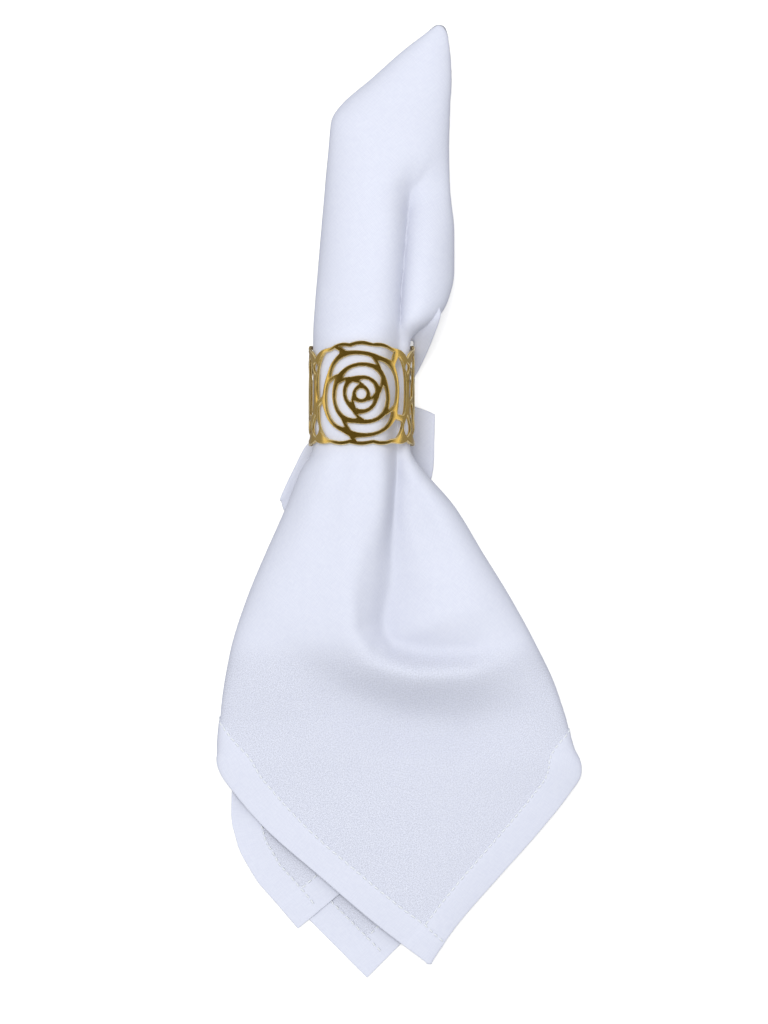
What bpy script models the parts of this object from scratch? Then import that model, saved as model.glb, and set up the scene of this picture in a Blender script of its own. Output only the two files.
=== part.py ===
"""A square table napkin, folded in four, gathered through an openwork metal ring and laid flat.

X runs across the napkin, Y along it (the closed tip at +Y, the loose hemmed corners at -Y) and Z up.
The origin is on the table, under the middle of the ring. Lengths in the tables are millimetres.

The folded napkin is drawn section by section, as one line that runs from the cloth tucked behind on the
left, round the left fold, over the front, round the right fold and back underneath. Its four plies lie
together in the thickness of that line. Where they part, below the hem, the second and the third ply are
sheets of their own that grow out of the first.
"""
import math

import bmesh
import bpy
from mathutils import Vector
from mathutils.geometry import delaunay_2d_cdt

MM = 0.001

# ---- ring ----
RING_RADIUS = 19.7
RING_WALL = 1.1
RING_FLAT = 0.12             # the ring's lowest line is flattened by this much, so that it lies still
RING_Z = RING_RADIUS - RING_FLAT
ROSES = 3
UPPER_JOINT, UPPER_ROSE = 13.4, 19.4     # the band's upper edge: where two roses meet, in a rose's middle
LOWER_JOINT, LOWER_ROSE = 17.0, 18.8     # and its lower edge, which is straighter
ROSE_BUMPS = 5               # scallops along the edge of one rose
BUMP_RISE = 0.8

# ---- cloth ----
# Sections of the gathered cloth, from the tip down to the loose corner. Inside the ring, from y 21 to
# y -20, the cloth keeps 0.35 mm clear of it all round: its radius there is 18.25.
# left, right: the side folds. crown: top of the front. left_z, right_z: how high the side folds bulge.
# left_low, right_low: height of the cloth's middle where it runs behind. left_turn, right_turn: how round
# the cloth turns under. left_tuck, right_tuck: cloth behind each side fold. flat: how square the front's
# crown is. edge: 2 for a fold that turns under, 1 for an open edge.
SECTION_COLUMNS = ("y", "left", "right", "crown", "left_z", "right_z", "left_low", "right_low", "left_turn",
                   "right_turn", "left_tuck", "right_tuck", "flat", "edge", "thick")
SECTIONS = (
    (140.4, 27.2, 31.0, 3.5, 1.4, 1.8, 0.8, 0.9, 2.0, 2.0, 0.0, 0.0, 2.0, 2.0, 1.2),
    (137.6, 23.4, 32.6, 4.6, 1.5, 2.1, 0.8, 0.9, 2.5, 2.2, 0.0, 0.0, 2.0, 2.0, 1.2),
    (131.0, 14.9, 33.2, 7.0, 2.4, 3.4, 0.9, 1.0, 3.0, 3.2, 0.0, 2.5, 2.0, 2.0, 1.5),
    (120.0, 2.6, 33.7, 10.4, 4.0, 5.2, 1.6, 1.1, 4.0, 4.0, 0.0, 7.0, 2.1, 2.0, 1.8),
    (110.0, -8.4, 33.3, 13.4, 5.8, 6.4, 2.4, 1.1, 5.0, 5.0, 0.0, 15.0, 2.1, 2.0, 2.0),
    (104.0, -12.1, 33.1, 15.2, 7.0, 7.4, 3.4, 1.1, 5.0, 5.4, 2.0, 22.0, 2.2, 2.0, 2.1),
    (95.0, -12.9, 33.0, 17.6, 8.2, 8.8, 4.0, 1.1, 5.0, 6.0, 12.0, 29.0, 2.2, 2.0, 2.2),
    (80.0, -14.1, 33.3, 21.2, 9.8, 10.6, 4.4, 1.1, 5.4, 6.6, 29.0, 39.0, 2.2, 2.0, 2.2),
    (62.0, -15.6, 34.9, 25.8, 12.0, 12.8, 5.0, 1.1, 6.0, 7.6, 41.0, 47.0, 2.1, 2.0, 2.2),
    (46.0, -16.8, 34.8, 30.2, 14.6, 14.8, 6.4, 1.1, 6.4, 9.0, 44.0, 50.0, 2.1, 2.0, 2.2),
    (36.0, -17.5, 32.6, 33.4, 16.6, 16.6, 8.4, 1.2, 6.4, 11.4, 42.0, 49.0, 2.0, 2.0, 2.2),
    (27.0, -18.1, 25.4, 36.6, 18.8, 18.8, 12.2, 1.8, 6.0, 15.0, 36.0, 44.0, 2.0, 2.0, 2.2),
    (21.0, -18.25, 18.25, 37.83, 19.58, 19.58, 14.4, 2.43, 6.0, 17.15, 31.0, 40.0, 2.0, 2.0, 2.2),
    (-20.0, -18.25, 18.25, 37.83, 19.58, 19.58, 14.4, 2.43, 6.0, 17.15, 31.0, 40.0, 2.0, 2.0, 2.2),
    (-27.0, -22.6, 22.8, 37.4, 17.4, 17.2, 11.0, 1.7, 6.0, 14.0, 34.0, 46.0, 2.0, 2.0, 2.2),
    (-41.0, -28.4, 34.9, 35.6, 13.4, 13.4, 6.2, 1.1, 6.0, 10.0, 38.0, 58.0, 2.1, 2.0, 2.2),
    (-57.5, -35.9, 45.0, 32.0, 10.4, 10.6, 3.8, 1.1, 5.6, 8.0, 34.0, 53.0, 2.1, 2.0, 2.2),
    (-74.5, -43.1, 55.6, 27.6, 8.2, 8.8, 1.2, 1.1, 5.2, 6.4, 32.0, 47.0, 2.2, 2.0, 2.2),
    (-91.5, -48.8, 65.0, 22.8, 7.0, 7.4, 1.1, 1.1, 4.8, 5.4, 25.0, 38.0, 2.2, 2.0, 2.1),
    (-108.0, -52.2, 72.9, 17.2, 5.8, 5.8, 1.0, 1.0, 4.2, 4.4, 18.0, 26.0, 2.4, 2.0, 1.8),
    (-122.0, -53.7, 77.8, 12.6, 4.6, 4.2, 0.9, 0.9, 3.8, 3.6, 8.6, 11.0, 2.7, 2.0, 1.5),
    (-131.0, -54.6, 81.0, 10.8, 3.7, 3.4, 0.8, 0.8, 3.4, 3.0, 2.4, 2.6, 3.0, 2.0, 1.3),
    (-137.0, -54.8, 83.4, 10.0, 3.7, 3.0, 1.0, 0.8, 3.2, 2.6, 0.0, 0.0, 3.2, 2.0, 1.2),
    (-141.5, -53.6, 83.0, 9.4, 4.4, 2.8, 1.6, 0.8, 3.0, 2.4, 0.0, 0.0, 2.8, 1.6, 1.2),
    (-149.0, -48.4, 78.8, 8.8, 4.6, 2.6, 1.8, 0.8, 3.0, 2.2, 0.0, 0.0, 2.2, 1.3, 1.4),
    (-162.0, -37.2, 68.7, 8.0, 4.6, 2.5, 1.8, 0.8, 3.0, 2.0, 0.0, 0.0, 2.0, 1.1, 1.4),
    (-180.7, -15.9, 52.2, 6.6, 4.4, 2.3, 1.8, 0.8, 3.0, 2.0, 0.0, 0.0, 2.0, 1.0, 1.4),
    (-198.0, 4.2, 37.1, 5.0, 3.6, 2.0, 1.6, 0.8, 2.5, 2.0, 0.0, 0.0, 2.0, 1.0, 1.4),
    (-213.2, 24.0, 27.2, 3.2, 2.4, 1.9, 1.2, 0.8, 2.0, 2.0, 0.0, 0.0, 2.0, 1.0, 1.3),
)

# Creases and ridges of the front: rows are points along each one. height is what it adds to the front,
# left_soft and right_soft are its widths on either hand when going down the rows.
STROKE_COLUMNS = ("x", "y", "height", "right_soft", "left_soft")
MAIN_CREASE = (
    (18.0, 88.0, 0.0, 7.0, 7.0),
    (17.0, 78.0, -3.0, 6.0, 6.4),
    (15.4, 62.0, -7.0, 5.6, 5.4),
    (14.6, 42.0, -8.8, 5.2, 5.0),
    (14.0, 22.0, -6.8, 4.8, 4.8),
    (13.4, 0.0, -6.6, 4.4, 4.2),
    (12.2, -20.0, -8.0, 4.4, 4.4),
    (11.0, -36.0, -13.0, 4.6, 6.0),
    (10.0, -48.0, -14.0, 4.6, 9.0),
    (5.6, -61.0, -12.8, 4.8, 13.0),
    (2.8, -72.0, -11.6, 4.8, 15.0),
    (1.8, -83.0, -10.8, 4.8, 16.0),
    (3.4, -91.0, -10.2, 4.8, 15.0),
    (8.4, -96.0, -9.8, 4.8, 13.0),
    (16.0, -98.2, -9.2, 4.8, 12.0),
    (27.0, -99.0, -7.8, 5.0, 11.4),
    (40.0, -98.0, -5.2, 5.2, 11.0),
    (51.0, -95.4, -2.4, 5.4, 10.0),
    (62.0, -90.0, 0.0, 5.6, 9.0),
)
POCKET_RIM = (
    (4.0, -50.0, 0.0, 5.0, 3.0),
    (-3.4, -64.0, 1.2, 6.0, 4.0),
    (-5.0, -84.0, 1.8, 7.0, 4.0),
    (5.0, -101.0, 2.4, 8.0, 4.0),
    (22.0, -105.6, 3.0, 8.0, 4.4),
    (40.0, -105.2, 2.8, 8.0, 4.6),
    (58.0, -99.6, 0.8, 8.0, 5.0),
    (70.0, -94.0, 0.0, 8.0, 5.0),
)
LEFT_HOLLOW = (
    (-3.0, -20.0, 0.0, 3.0, 3.0),
    (-6.5, -30.0, -0.9, 3.4, 3.4),
    (-12.0, -44.0, -1.1, 4.4, 4.4),
    (-18.0, -62.0, 0.0, 6.0, 6.0),
)
RIGHT_HOLLOW = (
    (16.0, -24.0, 0.0, 3.0, 3.0),
    (22.0, -38.0, -1.2, 4.0, 4.0),
    (31.0, -58.0, -1.6, 5.0, 5.0),
    (40.0, -76.0, 0.0, 6.0, 6.0),
)
STROKES = (MAIN_CREASE, POCKET_RIM, LEFT_HOLLOW, RIGHT_HOLLOW)

FRONT_STEPS = 120            # points along the front in one section
TURN_STEPS = 40              # points round one side fold
TUCK_STOP = 3.0              # a left tuck ends at least this far from the right fold
COLUMNS = 46                 # cloth faces across one section
BEND_WEIGHT = 30.0           # a full turn of the cloth draws in as many columns as this many mm
STATION_STEP = 7.0           # how far apart the sections are
POCKET_STATIONS = (-108.0, -74.5)    # where they are twice as close, across the pocket's rim
RING_STATIONS, RING_PARTS = (-20.0, 21.0), 4   # inside the ring the section stays the same

# Lower plies: rows from their corner upwards, with their two edges.
PLY_COLUMNS = ("y", "left", "right")
SECOND_PLY = (
    (-199.4, -25.2, -23.2), (-193.5, -30.2, -15.6), (-182.2, -39.7, -2.4), (-170.9, -46.5, 11.2),
    (-159.5, -49.6, 24.8), (-150.0, -49.4, 36.2), (-143.0, -49.0, 44.6),
)
THIRD_PLY = (
    (-217.6, 1.4, 3.2), (-207.0, -10.0, 13.0), (-196.0, -21.8, 23.4), (-184.0, -34.6, 34.6),
    (-171.0, -44.2, 46.8), (-156.0, -46.8, 60.0), (-136.0, -48.0, 68.0),
)
PLY_THICK = 1.2
PLY_COLUMNS_ACROSS = 10      # faces across a lower ply
THIRD_Z = 0.65
SECOND_Z = 2.45
PLY_RISE = 7.0               # the length over which a ply climbs into the cloth above it
PLY_SUNK = 0.55              # its end stays this far below the middle of that cloth

# Cloth that shows past the ring: the two side corners tucked behind it, and the right-hand bulge where it
# laps round the ring's upper edge. Each is an outline of x, y points.
RIGHT_CORNER = ((14.5, -2.0), (21.0, -4.2), (27.0, -6.8), (26.8, -16.0), (26.2, -27.0), (23.0, -33.0),
                (12.0, -33.0), (13.2, -18.0))
LEFT_CORNER = ((-9.0, -24.0), (-14.0, -18.0), (-19.8, -18.0), (-25.2, -27.5), (-30.2, -37.6),
               (-28.6, -43.0), (-20.0, -47.0), (-9.0, -49.0))
BULGE_LAP = ((15.4, 8.6), (19.6, 6.6), (22.6, 12.6), (26.4, 20.0), (28.6, 25.6), (25.0, 34.0),
             (14.0, 34.0), (14.6, 20.0))
FLAP_THICK = 1.5
FLAP_Z = 1.1


def material(name, colour, roughness, metallic=0.0):
    """A plain Principled material."""
    made = bpy.data.materials.new(name)
    made.use_nodes = True
    shader = made.node_tree.nodes["Principled BSDF"]
    shader.inputs["Base Color"].default_value = (*colour, 1.0)
    shader.inputs["Roughness"].default_value = roughness
    shader.inputs["Metallic"].default_value = metallic
    return made


def add_object(name, bm, finish, crease_deg):
    """Turn a bmesh drawn in millimetres into a named object in metres, shaded smooth."""
    bmesh.ops.scale(bm, vec=(MM, MM, MM), verts=bm.verts)
    bmesh.ops.recalc_face_normals(bm, faces=bm.faces)
    mesh = bpy.data.meshes.new(name)
    bm.to_mesh(mesh)
    bm.free()
    mesh.shade_smooth()
    mesh.set_sharp_from_angle(angle=math.radians(crease_deg))
    mesh.materials.append(finish)
    made = bpy.data.objects.new(name, mesh)
    bpy.context.scene.collection.objects.link(made)
    return made


def smooth_value(xs, values, x):
    """Read a table with a curve that passes through its rows and never overshoots them."""
    count = len(xs)
    if x <= xs[0]:
        return values[0]
    if x >= xs[-1]:
        return values[-1]
    slopes = [(values[i + 1] - values[i]) / (xs[i + 1] - xs[i]) for i in range(count - 1)]
    i = next(k for k in range(count - 1) if x <= xs[k + 1])

    def tangent(k):
        if k == 0:
            return slopes[0]
        if k == count - 1:
            return slopes[-1]
        before, after = slopes[k - 1], slopes[k]
        if before * after <= 0.0:
            return 0.0
        return 2.0 * before * after / (before + after)

    span = xs[i + 1] - xs[i]
    t = (x - xs[i]) / span
    return (values[i] * (1 + 2 * t) * (1 - t) ** 2 + values[i + 1] * t * t * (3 - 2 * t)
            + span * (tangent(i) * t * (1 - t) ** 2 - tangent(i + 1) * t * t * (1 - t)))


def read_table(rows, columns, y):
    """Every column of a table at the height y along the napkin."""
    ordered = sorted(rows)
    ys = [row[0] for row in ordered]
    values = {"y": y}
    for k, column in enumerate(columns[1:], start=1):
        values[column] = smooth_value(ys, [row[k] for row in ordered], y)
    return values


def stroke_height(stroke, x, y):
    """What one crease or ridge adds to the front at x, y."""
    best = None
    for first, second in zip(stroke, stroke[1:]):
        along_x, along_y = second[0] - first[0], second[1] - first[1]
        length = math.hypot(along_x, along_y)
        t = ((x - first[0]) * along_x + (y - first[1]) * along_y) / length ** 2
        t = min(max(t, 0.0), 1.0)
        off_x, off_y = x - first[0] - t * along_x, y - first[1] - t * along_y
        distance = math.hypot(off_x, off_y)
        if best is None or distance < best[0]:
            on_left = along_x * off_y - along_y * off_x > 0.0
            height = first[2] + t * (second[2] - first[2])
            column = 4 if on_left else 3
            best = (distance, height, first[column] + t * (second[column] - first[column]))
    distance, height, soft = best
    return height * math.exp(-(distance / soft) ** 2)


def front_drop(x, y):
    return sum(stroke_height(stroke, x, y) for stroke in STROKES)


def section_path(row):
    """The middle line of the cloth at one section, as x, z points from the left tuck to the right tuck."""
    half_thick = row["thick"] / 2
    left, right = row["left"] + half_thick, row["right"] - half_thick
    crown = row["crown"] - half_thick
    half = (right - left) / 2
    left_side = []
    for k in range(1, TURN_STEPS + 1):
        angle = math.pi / 2 * k / TURN_STEPS
        left_side.append((left + row["left_turn"] * (1 - math.cos(angle)),
                          row["left_z"] - (row["left_z"] - row["left_low"]) * math.sin(angle)))
    left_side.append((right - TUCK_STOP, row["left_low"]))
    front = []
    for k in range(FRONT_STEPS + 1):
        across = -math.cos(math.pi * k / FRONT_STEPS)
        x = left + half * (1 + across)
        side = row["left_z"] + (row["right_z"] - row["left_z"]) * (1 + across) / 2
        bulge = max(1 - abs(across) ** row["flat"], 0.0) ** (1 / row["edge"])
        front.append((x, side + (crown - side) * bulge + bulge * front_drop(x, row["y"])))
    right_side = []
    for k in range(1, TURN_STEPS + 1):
        angle = math.pi / 2 * k / TURN_STEPS
        right_side.append((right - row["right_turn"] * (1 - math.cos(angle)),
                           row["right_z"] - (row["right_z"] - row["right_low"]) * math.sin(angle)))
    for k in range(TURN_STEPS + 1):
        angle = math.pi / 2 * k / TURN_STEPS
        right_side.append((left + row["right_turn"] * (1 - math.sin(angle)),
                           row["right_low"] + (row["right_z"] - row["right_low"]) * (1 - math.cos(angle))))
    left_part = trim(left_side, front[0], row["left_tuck"])
    right_part = trim(right_side, front[-1], row["right_tuck"])
    return left_part[::-1] + front + right_part


def trim(points, start, length):
    """The first part of a line, from start through points, of the given length."""
    kept = []
    last = start
    for point in points:
        step = math.dist(last, point)
        if step < 1e-6:
            continue
        if step >= length:
            if length > 0.05:
                t = length / step
                kept.append((last[0] + t * (point[0] - last[0]), last[1] + t * (point[1] - last[1])))
            break
        kept.append(point)
        length -= step
        last = point
    return kept


def spread_columns(path):
    """Points along a line, closer together where it bends."""
    reach = [0.0]
    heading = None
    for first, second in zip(path, path[1:]):
        turn = math.atan2(second[1] - first[1], second[0] - first[0])
        bend = 0.0 if heading is None else abs((turn - heading + math.pi) % (2 * math.pi) - math.pi)
        heading = turn
        reach.append(reach[-1] + math.dist(first, second) + BEND_WEIGHT * bend / (2 * math.pi))
    points = []
    k = 0
    for column in range(COLUMNS + 1):
        target = reach[-1] * column / COLUMNS
        while k < len(reach) - 2 and reach[k + 1] < target:
            k += 1
        t = (target - reach[k]) / (reach[k + 1] - reach[k])
        points.append((path[k][0] + t * (path[k + 1][0] - path[k][0]),
                       path[k][1] + t * (path[k + 1][1] - path[k][1])))
    return points


def offset_line(points, distance):
    """The line moved sideways, to its left hand when going along it."""
    moved = []
    for k, (x, z) in enumerate(points):
        before = points[max(k - 1, 0)]
        after = points[min(k + 1, len(points) - 1)]
        length = math.dist(before, after)
        moved.append((x - (after[1] - before[1]) / length * distance,
                      z + (after[0] - before[0]) / length * distance))
    return moved


def close_loops(bm, loops):
    """Skin a row of equal closed loops and cap its two ends with strips across the thickness."""
    rings = [[bm.verts.new(point) for point in loop] for loop in loops]
    count = len(rings[0])
    for first, second in zip(rings, rings[1:]):
        for k in range(count):
            bm.faces.new((first[k], first[(k + 1) % count], second[(k + 1) % count], second[k]))
    for ring in (rings[0], rings[-1]):
        for k in range(count // 2 - 1):
            bm.faces.new((ring[k], ring[k + 1], ring[count - 2 - k], ring[count - 1 - k]))


def station_list():
    """Where the sections are: at every row of the table, and evenly between."""
    ys = sorted(row[0] for row in SECTIONS)
    stations = [ys[0]]
    for low, high in zip(ys, ys[1:]):
        dense = POCKET_STATIONS[0] <= low and high <= POCKET_STATIONS[1]
        parts = max(1, round((high - low) / (STATION_STEP / 2 if dense else STATION_STEP)))
        if (low, high) == RING_STATIONS:
            parts = RING_PARTS
        stations += [low + (high - low) * k / parts for k in range(1, parts + 1)]
    return stations


def make_napkin_body():
    """The gathered cloth: one folded sheet, skinned over its sections."""
    bm = bmesh.new()
    loops = []
    for y in station_list():
        row = read_table(SECTIONS, SECTION_COLUMNS, y)
        middle = spread_columns(section_path(row))
        outside = offset_line(middle, row["thick"] / 2)
        inside = offset_line(middle, -row["thick"] / 2)
        loops.append([(x, y, z) for x, z in outside + inside[::-1]])
    close_loops(bm, loops)
    return bm


def front_middle(x, y):
    """Height of the front cloth's middle at x, y, for what grows out of it."""
    row = read_table(SECTIONS, SECTION_COLUMNS, y)
    half_thick = row["thick"] / 2
    left, right = row["left"] + half_thick, row["right"] - half_thick
    across = min(max((x - left) / (right - left) * 2 - 1, -1.0), 1.0)
    side = row["left_z"] + (row["right_z"] - row["left_z"]) * (1 + across) / 2
    bulge = max(1 - abs(across) ** row["flat"], 0.0) ** (1 / row["edge"])
    return side + (row["crown"] - half_thick - side) * bulge + bulge * front_drop(x, y)


def make_ply(rows, level):
    """A lower ply of the napkin, flat on its way from its corner until it climbs into the cloth above."""
    bm = bmesh.new()
    top_y = rows[-1][0]
    ys = [row[0] for row in rows[:-1]] + [top_y - PLY_RISE, top_y - PLY_RISE / 2, top_y]
    loops = []
    for y in sorted(set(ys)):
        row = read_table(rows, PLY_COLUMNS, y)
        climb = min(max((y - top_y + PLY_RISE) / PLY_RISE, 0.0), 1.0)
        points = []
        for k in range(PLY_COLUMNS_ACROSS + 1):
            x = row["left"] + (row["right"] - row["left"]) * k / PLY_COLUMNS_ACROSS
            points.append((x, level + climb * (front_middle(x, top_y) - PLY_SUNK - level)))
        half = PLY_THICK / 2
        loops.append([(x, y, z + half) for x, z in points] + [(x, y, z - half) for x, z in points[::-1]])
    close_loops(bm, loops)
    return bm


def make_flap(outline):
    """A flat tongue of cloth with the given outline."""
    bm = bmesh.new()
    low, high = FLAP_Z - FLAP_THICK / 2, FLAP_Z + FLAP_THICK / 2
    under = [bm.verts.new((x, y, low)) for x, y in outline]
    over = [bm.verts.new((x, y, high)) for x, y in outline]
    bm.faces.new(under)
    bm.faces.new(over)
    for k in range(len(outline)):
        after = (k + 1) % len(outline)
        bm.faces.new((under[k], under[after], over[after], over[k]))
    return bm


def make_napkin(finish):
    """The whole napkin: its gathered body with the loose plies and side corners grown on."""
    napkin = add_object("napkin", make_napkin_body(), finish, 60)
    grown = {
        "second_ply": make_ply(SECOND_PLY, SECOND_Z),
        "third_ply": make_ply(THIRD_PLY, THIRD_Z),
        "right_corner": make_flap(RIGHT_CORNER),
        "left_corner": make_flap(LEFT_CORNER),
        "bulge_lap": make_flap(BULGE_LAP),
    }
    for name, bm in grown.items():
        tool = add_object(name, bm, finish, 60)
        tool.hide_render = True
        tool.display_type = "WIRE"
        union = napkin.modifiers.new(name, "BOOLEAN")
        union.operation = "UNION"
        union.object = tool
    return napkin


# Rings of petal openings in one rose, from its eye outwards. outer, bulge: radius of a ring's outer side
# at its gaps, and how much further each petal swells. start_deg turns the ring. slant_deg leans the gaps
# between its petals. gap_deg: how wide they are.
PETAL_COLUMNS = ("count", "outer", "bulge", "start_deg", "slant_deg", "gap_deg")
PETALS = (
    (3, 5.2, 0.5, 100.0, 20.0, 27.0),
    (3, 9.4, 0.7, 20.0, 14.0, 17.0),
    (4, 13.6, 0.8, 62.0, 10.0, 11.0),
    (5, 19.3, 0.0, 44.0, 3.0, 7.5),
)
EYE = 1.9                    # radius of the opening in the middle
STRIP = 1.45                 # metal between two rings of petals
EDGE_STRIP = 1.5             # metal along the band's edges
# Small leaf-shaped openings where two roses meet: from and to are heights above or below the middle.
LEAF_COLUMNS = ("side", "from", "to", "half_width")
LEAVES = ((1, 7.6, 11.8, 1.5), (-1, 7.6, 15.4, 2.4))
LEAF_STEPS = 6
REST_PAD = ((-1.9, -5.0), (1.9, -5.0), (0.0, 5.0))   # a level triangle where the ring touches the table
PETAL_STEP = 1.5             # mm between points along a petal opening
FEWEST_STEPS = 7             # along the smallest openings
END_SHARE = 0.5              # width of a petal opening's ends, of its widest
FULLNESS = 0.34              # how soon it reaches its full width: the smaller, the sooner
SQUARENESS = 2.9             # how far the outer petals push towards the corners of the rose
ROSE_ARC = 2 * math.pi * RING_RADIUS / ROSES
EDGE_STEPS = 28              # points along the edge of one rose
CDT_NEAR = 1e-5              # flat points nearer than this are one


def band_edge(along, side):
    """How far the band's edge is from its middle line: side is 1 for the upper edge, -1 for the lower."""
    joint, rose = (UPPER_JOINT, UPPER_ROSE) if side > 0 else (LOWER_JOINT, LOWER_ROSE)
    t = (along / ROSE_ARC + 0.5) % 1.0
    arch = math.sin(math.pi * t) ** 0.8
    bumps = abs(math.sin(math.pi * ROSE_BUMPS * t)) ** 0.7
    return joint + (rose - joint - BUMP_RISE) * arch + BUMP_RISE * bumps


def petal_rim(ring, degrees):
    """How far from the rose's middle the outer side of a ring of petals is."""
    if ring < 0:
        return EYE
    count, outer, bulge, start_deg = PETALS[ring][:4]
    angle = math.radians(degrees)
    square = (abs(math.cos(angle)) ** SQUARENESS + abs(math.sin(angle)) ** SQUARENESS) ** (-1 / SQUARENESS)
    push = 1 + (square - 1) * (outer / PETALS[-1][1]) ** 2
    return (outer + bulge * abs(math.sin(math.radians(count * (degrees - start_deg) / 2)))) * push


def inside_band(radius, degrees):
    """A point at a radius and an angle round the rose, moved in from the band's edge where it must be."""
    x, y = radius * math.cos(math.radians(degrees)), radius * math.sin(math.radians(degrees))
    return x, math.copysign(min(abs(y), band_edge(x, y) - EDGE_STRIP), y)


def petal_opening(ring, index):
    """One petal-shaped opening, as flat points round it."""
    count, outer, _, start_deg, slant_deg, gap_deg = PETALS[ring]
    span = 360.0 / count - gap_deg
    first = start_deg + index * 360.0 / count + gap_deg / 2
    steps = max(FEWEST_STEPS, round(math.radians(span) * outer / PETAL_STEP))
    far_side, near_side = [], []
    for k in range(steps + 1):
        t = (1 - math.cos(math.pi * k / steps)) / 2
        far_deg = first + span * t + slant_deg / 2
        near_deg = far_deg - slant_deg
        far, near = petal_rim(ring, far_deg), petal_rim(ring - 1, near_deg) + STRIP
        middle = (far + near) / 2
        half = (far - near) / 2 * (END_SHARE + (1 - END_SHARE) * math.sin(math.pi * t) ** FULLNESS)
        far_side.append(inside_band(middle + half, far_deg))
        near_side.append(inside_band(middle - half, near_deg))
    return far_side + near_side[::-1]


def eye_opening():
    turns = [2 * math.pi * k / 10 for k in range(10)]
    return [(EYE * math.cos(turn), EYE * math.sin(turn)) for turn in turns]


def leaf_half(leaf, hand):
    """One side of the leaf-shaped opening between two roses, from the band's middle outwards."""
    side, start, end, half_width = leaf
    points = []
    for k in range(LEAF_STEPS + 1):
        t = k / LEAF_STEPS
        wide = half_width * max(math.sin(math.pi * t ** 1.5), 0.0) ** 0.7
        points.append((hand * wide, side * (start + (end - start) * t)))
    return points


def wrap_points(bm, flat_verts, used, radius, seam, length):
    """Bend the used points of the flat pattern round a cylinder. Points on its two ends become one."""
    made, wrapped = {}, {}
    for k in used:
        along, y = flat_verts[k]
        turn = (along - seam) / length
        turn = 0.0 if turn > 1 - CDT_NEAR else turn
        place = (round(turn, 5), round(y, 3))
        if place not in made:
            angle = math.pi / 2 - (seam + turn * length) / RING_RADIUS
            z = max(RING_Z + radius * math.sin(angle), 0.0)
            made[place] = bm.verts.new((radius * math.cos(angle), y, z))
        wrapped[k] = made[place]
    return wrapped


def make_ring(finish):
    """The ring: its flat pattern of roses is triangulated, wrapped round and given its wall."""
    seam = -ROSE_ARC / 2
    length = ROSES * ROSE_ARC
    edge_places = [seam + length * k / (EDGE_STEPS * ROSES) for k in range(EDGE_STEPS * ROSES + 1)]
    top = [(along, band_edge(along, 1)) for along in edge_places]
    bottom = [(along, -band_edge(along, -1)) for along in edge_places]
    upper_leaf, lower_leaf = LEAVES
    right_border = leaf_half(lower_leaf, -1)[::-1] + leaf_half(upper_leaf, -1)
    left_border = leaf_half(upper_leaf, 1)[::-1] + leaf_half(lower_leaf, 1)
    outline = (bottom + [(x + seam + length, y) for x, y in right_border]
               + top[::-1] + [(x + seam, y) for x, y in left_border])
    one_rose = [petal_opening(ring, index) for ring, row in enumerate(PETALS) for index in range(row[0])]
    one_rose.append(eye_opening())
    holes = [[(x + rose * ROSE_ARC, y) for x, y in flat] for rose in range(ROSES) for flat in one_rose]
    for joint in range(1, ROSES):
        for leaf in LEAVES:
            side = leaf[0]
            flat = leaf_half(leaf, side) + leaf_half(leaf, -side)[-2:0:-1]
            holes.append([(x + seam + joint * ROSE_ARC, y) for x, y in flat])
    points, faces = list(outline), [list(range(len(outline)))]
    for hole in holes:
        start = len(points)
        points += hole
        faces.append(list(range(start, start + len(hole))))
    lowest = seam + 2 * ROSE_ARC
    pad = [len(points) + k for k in range(len(REST_PAD))]
    points += [(lowest + x, y) for x, y in REST_PAD]
    pad_edges = list(zip(pad, pad[1:] + pad[:1]))
    flat_verts, _, flat_faces, _, _, face_origin = delaunay_2d_cdt(
        [Vector(p) for p in points], pad_edges, faces, 1, CDT_NEAR)
    bm = bmesh.new()
    kept = [face for face, origin in zip(flat_faces, face_origin) if origin == [0]]
    used = sorted({k for face in kept for k in face})
    outer = wrap_points(bm, flat_verts, used, RING_RADIUS, seam, length)
    inner = wrap_points(bm, flat_verts, used, RING_RADIUS - RING_WALL, seam, length)
    rims = {}
    for face in kept:
        bm.faces.new([outer[k] for k in face])
        bm.faces.new([inner[k] for k in face[::-1]])
        for a, b in zip(face, face[1:] + face[:1]):
            rims.setdefault(frozenset((outer[a], outer[b])), []).append((a, b))
    for pairs in rims.values():
        if len(pairs) == 1:
            a, b = pairs[0]
            bm.faces.new((outer[b], outer[a], inner[a], inner[b]))
    return add_object("ring", bm, finish, 40)


def main():
    for old in list(bpy.data.objects):
        bpy.data.objects.remove(old, do_unlink=True)
    make_napkin(material("white_cloth", (0.84, 0.86, 0.93), 0.9))
    make_ring(material("polished_gold", (0.78, 0.52, 0.16), 0.2, 1.0))


main()
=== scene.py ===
# %% [markdown]
# # A napkin in a ring
#
# A square cotton table napkin is folded in four, gathered, and drawn through an openwork metal ring.
# One closed corner sticks out above the ring as a soft roll. Below it the cloth opens like a fan and
# ends in four hemmed corners, one on another. This lesson dresses the imported solids: the napkin's plain
# solid is replaced by one thin folded sheet with hems and stitches, and the ring by a copy of itself
# with rounded rims, given a painted highlight, and a gold finish.
#
# Everything is in metres in the scene. The tables below are in millimetres, because that is how a
# napkin is measured.

# %% Load the imported frame
import math

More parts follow.
